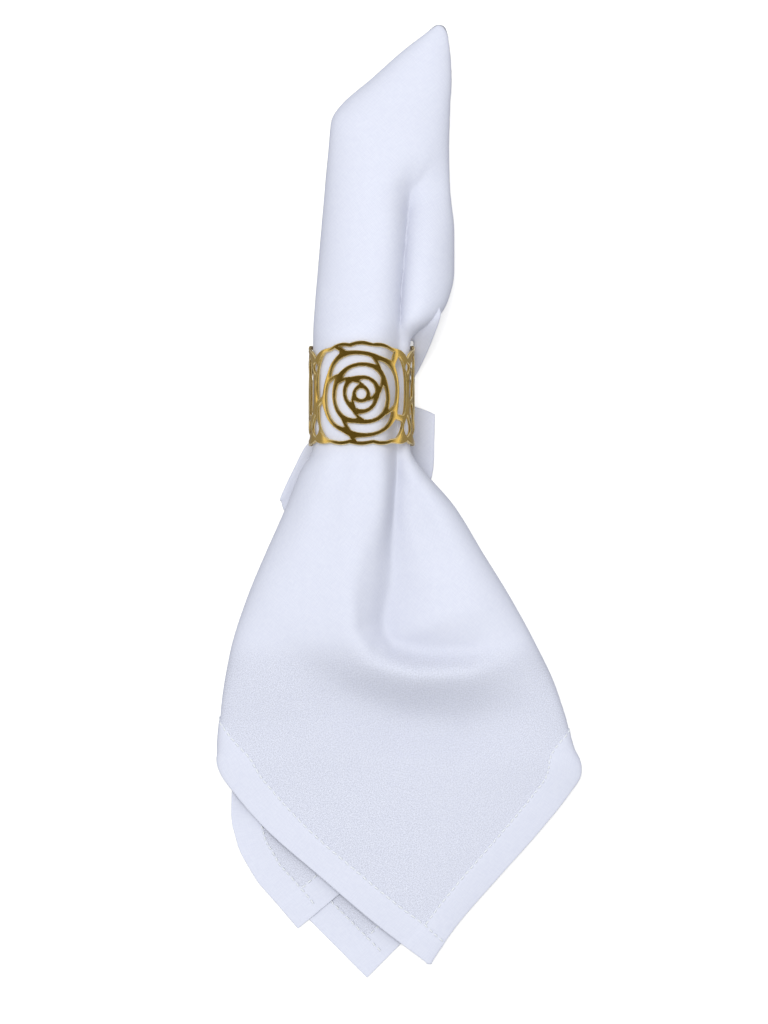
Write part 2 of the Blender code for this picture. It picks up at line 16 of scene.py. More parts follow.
import bpy
import numpy as np
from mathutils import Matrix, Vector


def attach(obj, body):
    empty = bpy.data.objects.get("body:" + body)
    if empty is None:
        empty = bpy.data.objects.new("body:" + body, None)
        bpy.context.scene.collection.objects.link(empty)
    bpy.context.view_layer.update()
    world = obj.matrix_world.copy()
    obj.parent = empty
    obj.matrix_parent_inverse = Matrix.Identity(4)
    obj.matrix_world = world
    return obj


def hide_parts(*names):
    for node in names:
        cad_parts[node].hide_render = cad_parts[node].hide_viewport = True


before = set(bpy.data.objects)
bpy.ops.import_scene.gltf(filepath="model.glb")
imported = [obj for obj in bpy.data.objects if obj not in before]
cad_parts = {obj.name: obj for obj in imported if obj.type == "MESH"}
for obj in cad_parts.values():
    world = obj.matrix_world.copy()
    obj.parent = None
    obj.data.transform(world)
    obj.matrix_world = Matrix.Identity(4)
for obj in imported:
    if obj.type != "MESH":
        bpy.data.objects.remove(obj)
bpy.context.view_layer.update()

MM = 0.001
print("nodes:", sorted(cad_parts))

# %% [markdown]
# ## The section tables
#
# The gathered cloth changes shape all the way along, so it is described by sections across it. Each row
# gives the side folds, the crown, how the cloth turns under on either side, and how much room there is
# behind for the cloth that the front doesn't use. Between the rows a smooth curve reads every column.
# Nearly the same rows made the solid, so the sheet lies close to the solid's own folds.

# %% Sections of the gathered cloth
# y: along the napkin. left, right: side folds. crown: top of the front. left_z, right_z: height of the
# folds. left_low, right_low: height of the cloth behind. left_turn, right_turn: how round it turns under.
# flat: how square the front's crown is. edge: 2 for a fold that turns under, down to 1 for an open edge.
# thick: of the four plies together.
SHAPE_COLUMNS = ("y", "left", "right", "crown", "left_z", "right_z", "left_low", "right_low",
                 "left_turn", "right_turn", "flat", "edge", "thick")
SHAPE_ROWS = (
    (141, 27.8, 31.8, 3, 1.4, 1.6, 0.8, 0.9, 2.5, 2, 2, 2, 1.2),
    (137.6, 23.8, 33.1, 4.6, 1.5, 2.1, 0.8, 0.9, 2.5, 2.2, 2, 2, 1.2),
    (131, 15.2, 33.6, 7, 1.5, 2.1, 0.9, 1, 3, 3.2, 2, 2, 1.5),
    (120, 3, 34.1, 10.4, 2.2, 2.9, 1.6, 1.1, 4, 4, 2.1, 2, 1.8),
    (110, -8.4, 33.5, 13.4, 3, 3.3, 2.4, 1.1, 5, 5, 2.1, 2, 2),
    (104, -12.1, 33.3, 15.2, 3.6, 3.8, 3.4, 1.1, 5, 5.4, 2.2, 2, 2.1),
    (95, -12.9, 33, 17.6, 4.3, 4.6, 4, 1.1, 5, 6, 2.2, 2, 2.2),
    (80, -14.1, 33.3, 21.2, 5.3, 5.7, 4.4, 1.1, 5.4, 6.6, 2.2, 2, 2.2),
    (62, -15.6, 34.9, 25.8, 7.4, 7.9, 5, 1.1, 6, 7.6, 2.1, 2, 2.2),
    (46, -16.8, 34.8, 30.2, 11.7, 11.8, 6.4, 1.1, 6.4, 9, 2.1, 2, 2.2),
    (36, -17.5, 32.6, 33.4, 16.6, 16.6, 8.4, 1.2, 6.4, 11.4, 2, 2, 2.2),
    (31, -17.8, 30.2, 35.2, 17.9, 17.6, 10.4, 1.4, 6.2, 13.2, 2, 2, 2.2),
    (27, -18.1, 26.6, 36.6, 18.8, 18.8, 12.2, 1.8, 6, 15, 2, 2, 2.2),
    (21, -18.25, 18.25, 37.83, 19.58, 19.58, 14.4, 2.43, 6, 17.15, 2, 2, 2.2),
    (-20, -18.25, 18.25, 37.83, 19.58, 19.58, 14.4, 2.43, 6, 17.15, 2, 2, 2.2),
    (-27, -22.6, 22.8, 37.4, 17.4, 17.2, 11, 1.7, 6, 14, 2, 2, 2.2),
    (-41, -28.4, 34.9, 35.6, 13.4, 13.4, 6.2, 1.1, 6, 10, 2.1, 2, 2.2),
    (-57.5, -35.9, 45, 32, 10.4, 10.6, 3.8, 1.1, 5.6, 8, 2.1, 2, 2.2),
    (-74.5, -43.1, 55.6, 28.4, 8.2, 8.8, 1.2, 1.1, 5.2, 6.4, 2.2, 2, 2.2),
    (-91.5, -48.8, 65, 24.2, 7, 7.4, 1.1, 1.1, 4.8, 5.4, 2.2, 2, 2.1),
    (-106, -51.9, 72.1, 19, 6, 6, 1, 1, 4.2, 4.4, 2.4, 2, 1.8),
    (-114, -53.1, 75.2, 15.6, 5.8, 5.8, 1, 1, 4.2, 4.4, 2.4, 2, 1.8),
    (-122, -53.9, 77.9, 12.8, 4.6, 4.2, 0.9, 0.9, 3.8, 3.6, 2.7, 2, 1.5),
    (-131, -54.8, 79.9, 10.8, 3.7, 3.4, 0.8, 0.8, 3.4, 3, 3, 2, 1.3),
    (-137, -54.8, 82.3, 10, 3.7, 3, 1, 0.8, 3.2, 2.6, 3.2, 2, 1.2),
    (-141.5, -53.6, 83, 9.4, 4.4, 2.8, 1.6, 0.8, 3, 2.4, 2.8, 1.6, 1.2),
    (-149, -48.4, 78.8, 8.8, 4.6, 2.6, 1.8, 0.8, 3, 2.2, 2.2, 1.3, 1.4),
    (-162, -37.2, 68.7, 8, 4.6, 2.5, 1.8, 0.8, 3, 2, 2, 1.1, 1.4),
    (-180.7, -15.9, 52.2, 6.6, 4.4, 2.3, 1.8, 0.8, 3, 2, 2, 1, 1.4),
    (-198, 4.2, 37.1, 5, 3.6, 2, 1.6, 0.8, 2.5, 2, 2, 1, 1.4),
    (-213.6, 24.6, 25.8, 3, 2.4, 2, 1.2, 0.8, 2, 2, 2, 1, 1.3),
)

# Cloth behind. rise: how far the left-hand pass climbs over the right-hand ones. step: how much higher
# each pass lies than the last. reach: where a pass turns back. back: where the next one does. room: the
# most cloth that goes behind on that side. centre: where the napkin's diagonal lies on the front.
BEHIND_COLUMNS = ("y", "left_rise", "left_step", "right_step", "left_reach", "right_reach",
                  "left_back", "right_back", "left_room", "right_room", "centre")
BEHIND_ROWS = (
    (141, 0, 3, 3, 30, 29, 28, 30, 0, 0, 29.2),
    (131, 0, 3, 3, 22, 18, 18, 28, 0, 1.5, 24.6),
    (120, 0, 3, 3, 20, 8, 8, 27, 0, 9, 22.3),
    (110, 0, 3, 3, 20, -1, 0, 26, 0, 18, 20.6),
    (104, 0, 3.2, 3.2, 20, -4, -4, 26, 2, 28, 20.2),
    (95, 0, 3.2, 3.2, 20, -6, -6, 26, 12, 36, 19),
    (80, 0, 3.2, 3.2, 19, -7, -8, 26, 30, 44, 16),
    (62, 0, 3.3, 3.3, 18, -8, -9, 26, 46, 54, 13),
    (46, 0.8, 3.3, 3.3, 17, -9, -10, 24, 62, 66, 10),
    (36, 2.8, 3.3, 3.3, 15, -9, -11, 19, 76, 76, 8.6),
    (27, 0.8, 3.3, 3.6, 13, -8, -12, 12, 86, 84, 6.8),
    (21, 0, 3.3, 4.2, 12, -7, -12.5, 7.5, 90, 88, 6),
    (-20, 0, 3.3, 4.2, 12, -7, -12.5, 7.5, 90, 88, 5),
    (-27, 2.4, 3.3, 3.8, 12.6, -10, -15, 11, 96, 96, 5.2),
    (-41, 5.4, 3.3, 3.3, 12, -14, -20, 25, 108, 112, 6),
    (-57.5, 6.2, 3.2, 3.2, 5, -10, -28, 35, 96, 100, 8),
    (-74.5, 5, 3.2, 3.2, -4, -1, -36, 45, 74, 80, 10),
    (-91.5, 0, 3, 3, -15, 13, -42, 56, 50, 58, 12),
    (-108, 0, 2.8, 2.8, -26, 30, -46, 64, 28, 38, 14),
    (-122, 0, 2.6, 2.6, -36, 48, -48, 70, 13, 17, 15.8),
    (-131, 0, 2.4, 2.4, -44, 60, -50, 74, 5, 5, 17),
    (-137, 0, 2.4, 2.4, -48, 66, -50, 76, 0, 0, 17.8),
    (-149, 0, 2.4, 2.4, -40, 60, -44, 66, 0, 0, 19),
    (-213.6, 0, 2.4, 2.4, 24.8, 25.2, 24.8, 25.2, 0, 0, 25.2),
)
print("sections:", len(SHAPE_ROWS))

# %% [markdown]
# ## The main creases
#
# The front has one deep valley. It begins on the roll, runs through the ring, and opens below it into a
# pocket whose floor bends to the right under a soft ledge. It is two lines, a sharp one above and a
# softer one below, which fade into each other inside the ring. The pocket's rim, the foot of its slope
# and a few shallow hollows are lines too. Each is a row of points with a height and a softness on either
# hand, so that a wall can be steep on one side and gentle on the other.

# %% Creases and ridges of the front
# A point is x, y, height, right_soft, left_soft. height: what the line adds to the front. right_soft,
# left_soft: how wide it is on the right hand and on the left hand of somebody who walks down the points.
# The two numbers before the points say how round it is on the same two hands: 1 is a sharp cleft, 2 a
# soft dip.
STROKES = {
    "roll_crease": (1.3, 1, (
        (19.6, 78.6, 0, 3.2, 5), (18.2, 76, -5, 3.4, 5.4), (17.3, 71, -8.4, 3.4, 6),
        (16.9, 65, -9.2, 3.6, 6.2), (16.3, 56, -9.2, 4, 4.8), (15.2, 42, -8.6, 4.4, 3.4),
        (14.4, 30, -8.4, 3.8, 3), (14, 21, -8.4, 3.4, 3.2), (13.6, 8, -9.2, 3.4, 3.4),
        (13, -8, 0, 3.4, 3.6),
    )),
    "main_crease": (1.7, 1.32, (
        (13.6, 8, 0, 3.4, 3.6), (13, -8, -9.8, 3.4, 3.6), (13.2, -20, -10.6, 3, 4),
        (12.8, -30, -11.4, 2.6, 5), (12.1, -42, -11.4, 2.8, 11), (11.8, -48, -11.4, 3.2, 14),
        (11.6, -54, -11, 4.2, 18), (11.8, -62, -11, 6, 20), (11.4, -70, -11, 7, 20),
        (9.8, -76.4, -11, 7, 19), (8.6, -83.4, -10.6, 6.4, 18), (9.2, -87.6, -9.6, 5.4, 17),
        (12, -91.2, -8.6, 4.6, 17), (19, -93.2, -7.4, 4.4, 17), (27.6, -94.2, -6.4, 4.4, 16),
        (40, -93.8, -4.8, 4.2, 14), (51, -92, -2.4, 4.4, 12), (60, -88.6, 0, 4.8, 10),
    )),
    "pocket_rim": (1.7, 1.7, (
        (3, -50, 0, 6, 3), (-2.6, -62, 1.2, 7, 2.6), (-4.2, -76, 2, 8, 2.6), (-3.4, -88.4, 2.6, 8, 2.8),
        (4, -99, 3.4, 8, 3), (20, -102.8, 4.8, 8.4, 3), (40, -102.4, 4.6, 8.4, 3.4), (58, -97, 1.6, 8, 5),
        (70, -92.4, 0, 8, 5),
    )),
    "slope_foot": (2, 2, (
        (-44, -84, 0, 10, 10), (-26, -98, -2.2, 10, 8), (-8, -111.4, -4.2, 11, 8.8),
        (14, -121, -5.4, 11.5, 10), (36, -124, -5.2, 11.5, 10), (56, -119, -2.4, 10, 9),
        (68, -111, 0, 9, 9),
    )),
    "left_hollow": (2, 2, (
        (-3.4, -19, 0, 2.6, 2.6), (-6.4, -28, -1.5, 3, 3.4), (-11.6, -42, -1.7, 4.4, 4.6),
        (-17, -60, 0, 6, 6),
    )),
    "right_hollow": (2, 2, (
        (15.6, -22, 0, 2.4, 2.8), (19.4, -34, -2.2, 3.4, 4), (25, -50, -2.6, 4.4, 5),
        (32, -64, -1.4, 5, 6), (38, -78, 0, 6, 6),
    )),
    "lobe_top": (2, 2, (
        (18.6, 79, 0, 8, 5), (23, 79.8, -4.8, 12, 8), (29, 79.4, -5.6, 13, 9), (35, 77.4, -3.8, 11, 8),
    )),
    "left_edge_dip": (2, 2, (
        (-22, -34, 0, 3, 3), (-26, -44, -1.3, 4, 4), (-33, -58, -0.8, 4.6, 4.6), (-38, -70, 0, 5, 5),
    )),
}
print("creases and ridges:", ", ".join(STROKES))

# %% [markdown]
# ## Reading the tables
#
# `smooth_column` draws a curve through a column that never overshoots its rows, and `stroke_height` adds
# a crease: the height of its line, faded by how far away the cloth is. Where the line bends, whichever
# part of it tells most is the one that counts.

# %% Reading the tables
def smooth_column(rows, column, at):
    """A column of a table at the heights in at, on a curve that never overshoots its rows."""
    ordered = np.array(sorted(rows))
    ys, values = ordered[:, 0], ordered[:, column]
    spans = np.diff(ys)
    slopes = np.diff(values) / spans
    tangents = np.zeros(len(ys))
    same_way = slopes[:-1] * slopes[1:] > 0
    both = slopes[:-1] + slopes[1:]
    tangents[1:-1][same_way] = (2 * slopes[:-1] * slopes[1:])[same_way] / both[same_way]
    tangents[0], tangents[-1] = slopes[0], slopes[-1]
    at = np.clip(at, ys[0], ys[-1])
    i = np.clip(np.searchsorted(ys, at) - 1, 0, len(ys) - 2)
    t = (at - ys[i]) / spans[i]
    return (values[i] * (1 + 2 * t) * (1 - t) ** 2 + values[i + 1] * t * t * (3 - 2 * t)
            + spans[i] * (tangents[i] * t * (1 - t) ** 2 - tangents[i + 1] * t * t * (1 - t)))


def read_rows(rows, columns, at):
    """Every column of a table at the heights in at, by its name."""
    return {name: smooth_column(rows, k, at) for k, name in enumerate(columns)}


def ease(value, low, high):
    """0 below low, 1 above high, and a soft step between."""
    t = np.clip((value - low) / (high - low), 0.0, 1.0)
    return t * t * (3 - 2 * t)


print("crown inside the ring in mm:", round(float(smooth_column(SHAPE_ROWS, 3, 0.0)), 1))

# %% Adding the creases
LINE_ROUND = 0.4  # how round a crease is at its very line
WAVES = ((0.10, 0.19, 0.07, 0.4), (0.08, -0.11, 0.16, 1.7),  # height, across, along, start
         (0.05, 0.31, 0.12, 2.9), (0.04, 0.05, 0.37, 0.8))


def stroke_height(right_foot, left_foot, stroke, x, y):
    """What one crease or ridge adds at the points x, y."""
    nearest = np.full(np.shape(x), np.inf)
    left_hand = np.zeros(np.shape(x), bool)
    adds = np.zeros((2, *np.shape(x)))
    for first, second in zip(stroke, stroke[1:]):
        along_x, along_y = second[0] - first[0], second[1] - first[1]
        length_2 = along_x ** 2 + along_y ** 2
        t = np.clip(((x - first[0]) * along_x + (y - first[1]) * along_y) / length_2, 0.0, 1.0)
        off_x, off_y = x - first[0] - t * along_x, y - first[1] - t * along_y
        distance = np.hypot(off_x, off_y)
        nearer = distance < nearest
        nearest = np.where(nearer, distance, nearest)
        left_hand = np.where(nearer, along_x * off_y - along_y * off_x > 0, left_hand)
        height, *softness = (first[k] + t * (second[k] - first[k]) for k in (2, 3, 4))
        rounded = np.hypot(distance, LINE_ROUND) - LINE_ROUND
        for hand, (soft, foot) in enumerate(zip(softness, (right_foot, left_foot))):
            here = height * np.exp(-(rounded / soft) ** foot)
            adds[hand] = np.where(np.abs(here) > np.abs(adds[hand]), here, adds[hand])
    return np.where(left_hand, adds[1], adds[0])


def unevenness(x, y):
    """The slight waviness that any washed and folded cloth has."""
    return sum(high * np.sin(across * x + along * y + start) for high, across, along, start in WAVES)


def front_drop(x, y):
    """What all the creases, the ridges and the waviness add to the front at the points x, y."""
    return sum(stroke_height(*stroke, x, y) for stroke in STROKES.values()) + unevenness(x, y)


print("waves in mm, at most:", round(sum(wave[0] for wave in WAVES), 2))

# %% [markdown]
# ## One section of cloth
#
# A section starts at the napkin's diagonal on the front and runs both ways: over the crown, round a side
# fold, and then back and forth behind, as cloth does when it is gathered by hand. The passes behind are
# joined by round turns, so no ply is ever creased flat. The line stops where the cloth is used up.

# %% Turns and passes
TURN_STEPS = 12
SHORTEST_PASS = 0.5  # a pass that would be shorter is left out


def steps(count, end=1.0):
    """So many even steps up to end, without the start."""
    return np.linspace(0.0, end, count + 1)[1:]


def turn(start, end):
    """A round turn between two level passes, one above the other. start: x, z and which way it heads."""
    pull = 2.0 * abs(end[1] - start[1]) * start[2]
    return [(start[0] * (1 + 2 * k) * (1 - k) ** 2 + end[0] * k * k * (3 - 2 * k)
             + pull * (k * (1 - k) ** 2 + k * k * (1 - k)),
             start[1] + (end[1] - start[1]) * (3 * k * k - 2 * k ** 3)) for k in steps(TURN_STEPS)]


def passes(points, reach, back, step, way):
    """Carry a line back and forth between reach and back, each pass a step above the last."""
    level = points[-1][1]
    for k, stop in enumerate((reach, back, reach, back)):
        heading = way if k % 2 == 0 else -way
        if (stop - points[-1][0]) * heading > SHORTEST_PASS:
            points.append((stop, level))
        x = points[-1][0]
        points += turn((x, level, heading), (x, level + step))
        level += step
    return points


print("a turn 3 mm high stands out by:", round(max(x for x, z in turn((0, 0, 1), (0, 3))), 2), "mm")

# %% The line of a section
FRONT_STEPS = 160  # over the front
BEND_STEPS = 15  # round a side fold
FAR_BEND_STEPS = 23  # where the right-hand cloth goes all the way up inside the left-hand fold
CLIMB_STEPS = 8  # where the left-hand cloth climbs over the right-hand passes
CLIMB_RUN = 12.0  # how far across it takes for that


def bend(x, z, low, round_by, way):
    """A quarter turn under from a side fold at x, z down to the cloth behind."""
    return [(x + way * round_by * (1 - math.cos(k)), z - (z - low) * math.sin(k))
            for k in steps(BEND_STEPS, np.pi / 2)]


def section_line(row, y):
    """The middle line of the cloth at one section: its front, and what runs behind from either fold."""
    half_thick = row["thick"] / 2
    left, right = row["left"] + half_thick, row["right"] - half_thick
    crown, half = row["crown"] - half_thick, (row["right"] - row["left"]) / 2 - half_thick
    across = -np.cos(np.pi * np.arange(FRONT_STEPS + 1) / FRONT_STEPS)
    x = left + half * (1 + across)
    side = row["left_z"] + (row["right_z"] - row["left_z"]) * (1 + across) / 2
    bulge = np.clip(1 - np.abs(across) ** row["flat"], 0.0, 1.0) ** (1 / row["edge"])
    front = np.column_stack((x, side + (crown - side + front_drop(x, np.full_like(x, y))) * bulge))

    left_hand = bend(left, row["left_z"], row["left_low"], row["left_turn"], 1)
    start = left_hand[-1][0]
    left_hand += [(start + CLIMB_RUN * k, row["left_low"] + row["left_rise"] * (3 * k * k - 2 * k ** 3))
                  for k in steps(CLIMB_STEPS)]
    left_hand = passes(left_hand, row["left_reach"], row["left_back"], row["left_step"], 1)

    right_hand = bend(right, row["right_z"], row["right_low"], row["right_turn"], -1)
    bend_from = left + row["right_turn"]
    if row["right_reach"] < bend_from < right_hand[-1][0]:
        right_hand.append((bend_from, row["right_low"]))
        for k in steps(FAR_BEND_STEPS, np.pi / 2):
            point = (left + row["right_turn"] * (1 - math.sin(k)),
                     row["right_low"] + (row["right_z"] - row["right_low"]) * (1 - math.cos(k)))
            if point[0] < row["right_reach"]:
                break
            right_hand.append(point)
    right_hand = passes(right_hand, row["right_reach"], row["right_back"], row["right_step"], -1)
    return front, np.array(left_hand), np.array(right_hand)


def along_line(points):
    """How far along a line each of its points is."""
    return np.concatenate(([0.0], np.cumsum(np.hypot(*np.diff(points, axis=0).T))))


print("points over the front of a section:", FRONT_STEPS + 1)

# %% Sections all the way along
TOP_Y, CORNER_Y = 141.0, -213.6
PAST_TOP, PAST_CORNER = 1.5, 1.4  # the sections run a little past both ends
STATION_GAP = 1.0  # between the sections
SAMPLES = 440  # points kept along each section
SIDE = 254.0  # half the napkin's side: the side of the folded square
DIAGONAL = SIDE * math.sqrt(2)
LENGTH_RATIO = (TOP_Y - CORNER_Y) / DIAGONAL
LEAST_LENGTH = 0.6  # of a section's line on either hand, at the very ends

stations = np.arange(CORNER_Y - PAST_CORNER, TOP_Y + PAST_TOP, STATION_GAP)
shape = read_rows(SHAPE_ROWS, SHAPE_COLUMNS, stations)
behind = read_rows(BEHIND_ROWS, BEHIND_COLUMNS, stations)
spread = np.linspace(-1.0, 1.0, SAMPLES + 1)
line_x = np.zeros((len(stations), SAMPLES + 1))
line_z = np.zeros_like(line_x)
used = 0.0
for i, y in enumerate(stations):
    row = {name: column[i] for name, column in (shape | behind).items()}
    front, left_hand, right_hand = section_line(row, y)
    line = np.concatenate((left_hand[::-1], front, right_hand))
    reach = along_line(line)
    over_front = reach[len(left_hand):len(left_hand) + len(front)]
    middle = np.interp(row["centre"], front[:, 0], over_front)
    down = (TOP_Y - y) / LENGTH_RATIO
    width = max(min(down, DIAGONAL - down), LEAST_LENGTH)
    left_front, right_front = middle - over_front[0], over_front[-1] - middle
    left_length = np.clip(width, left_front, left_front + row["left_room"])
    right_length = np.clip(width, right_front, right_front + row["right_room"])
    wanted = middle + np.where(spread < 0, spread * left_length, spread * right_length)
    line_x[i] = np.interp(wanted, reach, line[:, 0])
    line_z[i] = np.interp(wanted, reach, line[:, 1])
    used += (left_length + right_length) * STATION_GAP
print("sections drawn:", len(stations), " cloth in each ply, of the whole:", round(used / SIDE ** 2, 2))


# %% Softened sections and which way is out
def soften(table, axis):
    """A light blur along one axis, with the ends kept."""
    weights = np.array((1, 4, 6, 4, 1)) / 16
    moved = np.moveaxis(table, axis, 0)
    padded = np.pad(moved, ((2, 2), (0, 0)), mode="edge")
    blurred = sum(weight * padded[k:k + len(moved)] for k, weight in enumerate(weights))
    blurred[0], blurred[-1] = moved[0], moved[-1]
    return np.moveaxis(blurred, 0, axis)


for axis in (0, 0, 1):
    line_x, line_z = soften(line_x, axis), soften(line_z, axis)
run_x, run_z = np.gradient(line_x, axis=1), np.gradient(line_z, axis=1)
run = np.maximum(np.hypot(run_x, run_z), 1e-6)
out_x, out_z = -run_z / run, run_x / run
print("highest point of the cloth's middle line in mm:", round(line_z.max(), 1))

# %% [markdown]
# ## From the flat square to the folded cloth
#
# A point of the napkin is named by where it lies on the flat square. Folding in four sends each quarter
# onto the same small square, whose diagonal runs down the napkin. So the place on that small square picks
# a section and a place along it, and the quarter picks which of the four plies it is. The hems are turned
# under for real: past the edge the cloth goes round and comes back beneath. Lower down, the three plies
# under the front fan out on the table, each to its own corner.

# %% Reading between the sections
def pick(table, station, place):
    """Read a table between its sections and samples, on smooth curves."""
    def weights(t):
        return (((-t + 2) * t - 1) * t / 2, ((3 * t - 5) * t * t + 2) / 2,
                ((-3 * t + 4) * t + 1) * t / 2, (t - 1) * t * t / 2)

    i, j = np.floor(station).astype(int), np.floor(place).astype(int)
    rows, columns = weights(station - i), weights(place - j)
    total = np.zeros_like(station)
    for k, down in enumerate(rows):
        for m, over in enumerate(columns):
            total += down * over * table[np.clip(i + k - 1, 0, table.shape[0] - 1),
                                         np.clip(j + m - 1, 0, table.shape[1] - 1)]
    return total


print("sections to read between:", len(line_x))

# %% Hems and lower corners
HEM = 11.0
SEAM = SIDE - HEM  # from the middle fold to the row of stitches
HEM_HALF = 0.42  # half the thickness of a turned hem
HEM_STEP = (-0.9, 0.7)  # where the cloth rises to its hem, on either side of the stitches
GROOVE_DEEP, GROOVE_HALF = 0.10, 0.8  # the stitches draw the cloth in a little
HEM_CHORD = 6  # the points this far either way along a hem tell which way it runs
# Corners of the lower plies: their left-hand hem, from the corner upwards, as x, y.
SECOND_HEM = ((-24.2, -200.4), (-30.4, -193), (-39.7, -182.4), (-46.3, -171), (-49.4, -159.6),
              (-49.3, -150), (-47.4, -138), (-43, -120), (-36, -98), (-28, -76))
THIRD_HEM = ((1.9, -218.9), (-18.9, -198.1), (-32, -184), (-41, -170), (-44, -152),
             (-42, -130), (-34, -100), (-28, -76))
FOURTH_HEM = ((14, -206), (-2, -190.4), (-18, -174.8), (-30, -160), (-34, -140),
              (-32, -110), (-28, -76))


def turned(reach):
    """Where cloth that turns round its hem's edge comes back to, and how far above the hem's middle."""
    quarter = HEM_HALF * math.pi / 2
    past = reach - SIDE
    angle = np.clip(past / quarter, -1.0, 1.0) * math.pi / 2
    place = SIDE - HEM_HALF * (1 - np.cos(angle)) - np.maximum(np.abs(past) - quarter, 0.0)
    step = ease(reach, SEAM + HEM_STEP[0], SEAM + HEM_STEP[1])
    groove = -GROOVE_DEEP * np.exp(-((reach - SIDE + HEM) / GROOVE_HALF) ** 2)
    return place, (groove - HEM_HALF * np.sin(angle)) * step


def flat_corner(hem, from_left, from_right):
    """Where a ply lies on the table: from_left and from_right are the distances from its two hems."""
    hem = np.array(hem)
    reach = along_line(hem)

    def point(at):
        return np.interp(at, reach, hem[:, 0]), np.interp(at, reach, hem[:, 1])

    from_right = np.minimum(from_right, reach[-1] - HEM_CHORD)
    (x, y), (x_after, y_after) = point(from_right), point(from_right + HEM_CHORD)
    x_before, y_before = point(from_right - HEM_CHORD)
    ahead_x, ahead_y = x_after - x_before, y_after - y_before
    ahead = np.hypot(ahead_x, ahead_y)
    return x + from_left * ahead_y / ahead, y - from_left * ahead_x / ahead


print("the end of the turned hem comes back to", turned(SIDE + HEM)[0].round(1), "mm")

# %% Where a point of the napkin goes
PLY_GAP = 0.3  # half the distance between two plies
FULL_THICK = 2.2  # four plies this thick together lie at their full distances
FOLD_ROUND = 1.5  # how near a fold the plies close on each other
LEAST_WIDTH = 0.05  # of half the folded square, at its corners
TIP_SKEW = 0.08  # how far the open corner is pulled down on its left, of the place across
TIP_FROM, TIP_TO = 280, 335  # where down the diagonal that begins and is complete
LOWER_HEM = 0.7  # how much of a hem's thickness the lower plies show
SETTLE_DOWN = (262.0, 310.0)  # where down the diagonal a lower ply comes to lie flat
SETTLE_OVER = (-75.0, -45.0)  # and from which side of it
RIDGE_HIGH, RIDGE_HALF = 1.3, 4.0  # the second ply's left-hand hem stands up in a low ridge
RIDGE_FADE = (8.0, 40.0)  # which fades in from its corner
SECOND_LOW, SECOND_RISE, SECOND_RUN = 0.9, 1.3, 16.0  # the second ply rises from its corner
THIRD_LEVEL, FOURTH_LEVEL = 0.95, 0.75


def cloth_points(u, v):
    """The folded place, in millimetres, of the points u, v of the flat napkin."""
    p, lift_p = turned(np.abs(u))
    q, lift_q = turned(np.abs(v))
    down, over = (p + q) / math.sqrt(2), (q - p) / math.sqrt(2)
    width = np.maximum(np.minimum(down, DIAGONAL - down), LEAST_WIDTH)
    y = TOP_Y - LENGTH_RATIO * down + TIP_SKEW * over * ease(down, TIP_FROM, TIP_TO)
    station = (y - stations[0]) / STATION_GAP
    place = (np.clip(over / width, -1, 1) + 1) / 2 * SAMPLES
    thick = pick(np.repeat(shape["thick"][:, None], 2, axis=1), station, np.zeros_like(station)) / FULL_THICK
    upper = np.where(u < 0, 1.0, -1.0)
    outer = np.where(v < 0, 1.0, -1.0)
    near_p = np.sin(np.clip(p / FOLD_ROUND, 0, 1) * math.pi / 2)
    near_q = np.sin(np.clip(q / FOLD_ROUND, 0, 1) * math.pi / 2)
    lift = upper * (2 * PLY_GAP + outer * PLY_GAP * near_q) * near_p * thick
    lift += (lift_p + lift_q) * np.where((u < 0) & (v < 0), 1.0, LOWER_HEM)
    x = pick(line_x, station, place) + lift * pick(out_x, station, place)
    z = pick(line_z, station, place) + lift * pick(out_z, station, place)

    from_left, from_right = SIDE - p, SIDE - q
    settle = ease(down, *SETTLE_DOWN) * ease(-over, *SETTLE_OVER)
    ridge = RIDGE_HIGH * np.exp(-((from_left - HEM) / RIDGE_HALF) ** 2) * ease(from_right, *RIDGE_FADE)
    second_z = SECOND_LOW + SECOND_RISE * (1 - np.exp(-(from_left + from_right) / SECOND_RUN)) + ridge
    for mine, hem, level in (((u < 0) & (v >= 0), SECOND_HEM, second_z),
                             ((u >= 0) & (v >= 0), THIRD_HEM, THIRD_LEVEL),
                             ((u >= 0) & (v < 0), FOURTH_HEM, FOURTH_LEVEL)):
        flat_x, flat_y = flat_corner(hem, from_left, from_right)
        x = np.where(mine, x + settle * (flat_x - x), x)
        y = np.where(mine, y + settle * (flat_y - y), y)
        z = np.where(mine, z + settle * (level + (lift_p + lift_q) * LOWER_HEM - z), z)
    return np.stack((x, y, z), axis=-1)


print("the front's open corner in mm:", cloth_points(np.array([-SIDE]), np.array([-SIDE])).round(1))

# %% [markdown]
# ## Weaving the sheet
#
# The sheet is a grid of the flat square's own threads, so its texture coordinates are simply its place
# on that square. The lines are close together on the quarter that becomes the front, at the folds, and
# where the hems turn, and wide apart where nothing shows.

# %% The napkin's sheet
FINE_STEP, WIDE_STEP = 1.45, 4.0  # between grid lines: on the front, and where less shows
SEAM_MARGIN = 4.0  # the even lines end this far before the stitches
FOLD_LINES = (0.0, 0.4, 0.9, 1.5, 2.4)  # from the middle fold
SEAM_LINES = (-2.4, -1.2, -0.6, 0.0, 0.7, 1.6, 3.2, 5.0, 7.0, 8.8)  # from the row of stitches
EDGE_LINES = (-1.2, -0.66, -0.4, -0.2, 0.0, 0.2, 0.4, 0.66, 1.6, 5.0, 10.0)  # from the hem's edge


def grid_lines(step):
    """Grid lines from the middle fold out to the end of the turned hem."""
    count = round((SEAM - SEAM_MARGIN - FOLD_LINES[-1]) / step)
    body = list(np.linspace(FOLD_LINES[-1], SEAM - SEAM_MARGIN, count + 1)[1:])
    stitched = [SEAM + k for k in SEAM_LINES]
    edge = [SIDE + k for k in EDGE_LINES]
    return np.array(list(FOLD_LINES) + body + stitched + edge)


